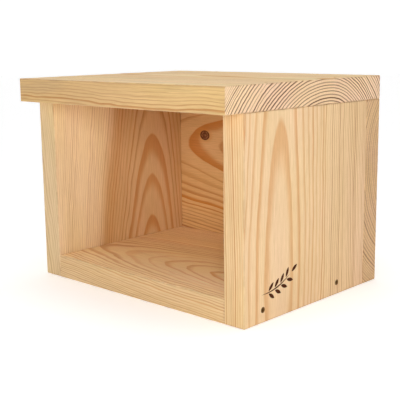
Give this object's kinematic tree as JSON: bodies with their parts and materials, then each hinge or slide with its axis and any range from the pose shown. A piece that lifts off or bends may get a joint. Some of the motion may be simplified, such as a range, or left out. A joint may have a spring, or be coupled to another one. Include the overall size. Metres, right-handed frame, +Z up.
{
  "type": "open-fronted nest box",
  "caption": "Open-fronted nest box of planed softwood boards: two upright sides, a floor, a back and a flat roof that overhangs the open front, all screwed together.",
  "frame": {"origin": "centre of the whole object's footprint, roof overhang included, on the surface it stands on", "axes": "+X to the right seen from the open front, along the boards' longest side; +Y from the open front, with the roof's overhang, to the back panel; +Z up"},
  "size_m": [0.24, 0.2, 0.18],
  "materials": {
    "roof_wood": "planed, unfinished softwood with strong growth rings, grain from side to side",
    "side_wood": "planed, unfinished softwood with upright grain",
    "floor_wood": "planed, unfinished softwood, grain from side to side",
    "back_wood": "planed, unfinished softwood with a small knot, grain from side to side",
    "screw_steel": "dark brown plated, matt"
  },
  "bodies": {
    "root": {"roof_board": "roof_wood", "left_side_panel": "side_wood", "right_side_panel": "side_wood", "floor_board": "floor_wood", "back_panel": "back_wood", "floor_screw_left_front": "screw_steel", "floor_screw_left_rear": "screw_steel", "floor_screw_right_front": "screw_steel", "floor_screw_right_rear": "screw_steel", "back_screw_left_lower": "screw_steel", "back_screw_left_upper": "screw_steel", "back_screw_right_lower": "screw_steel", "back_screw_right_upper": "screw_steel", "back_screw_floor_left": "screw_steel", "back_screw_floor_right": "screw_steel", "roof_screw_left_front": "screw_steel", "roof_screw_left_rear": "screw_steel", "roof_screw_right_front": "screw_steel", "roof_screw_right_rear": "screw_steel", "roof_screw_back_left": "screw_steel", "roof_screw_back_right": "screw_steel"}
  },
  "joints": []
}
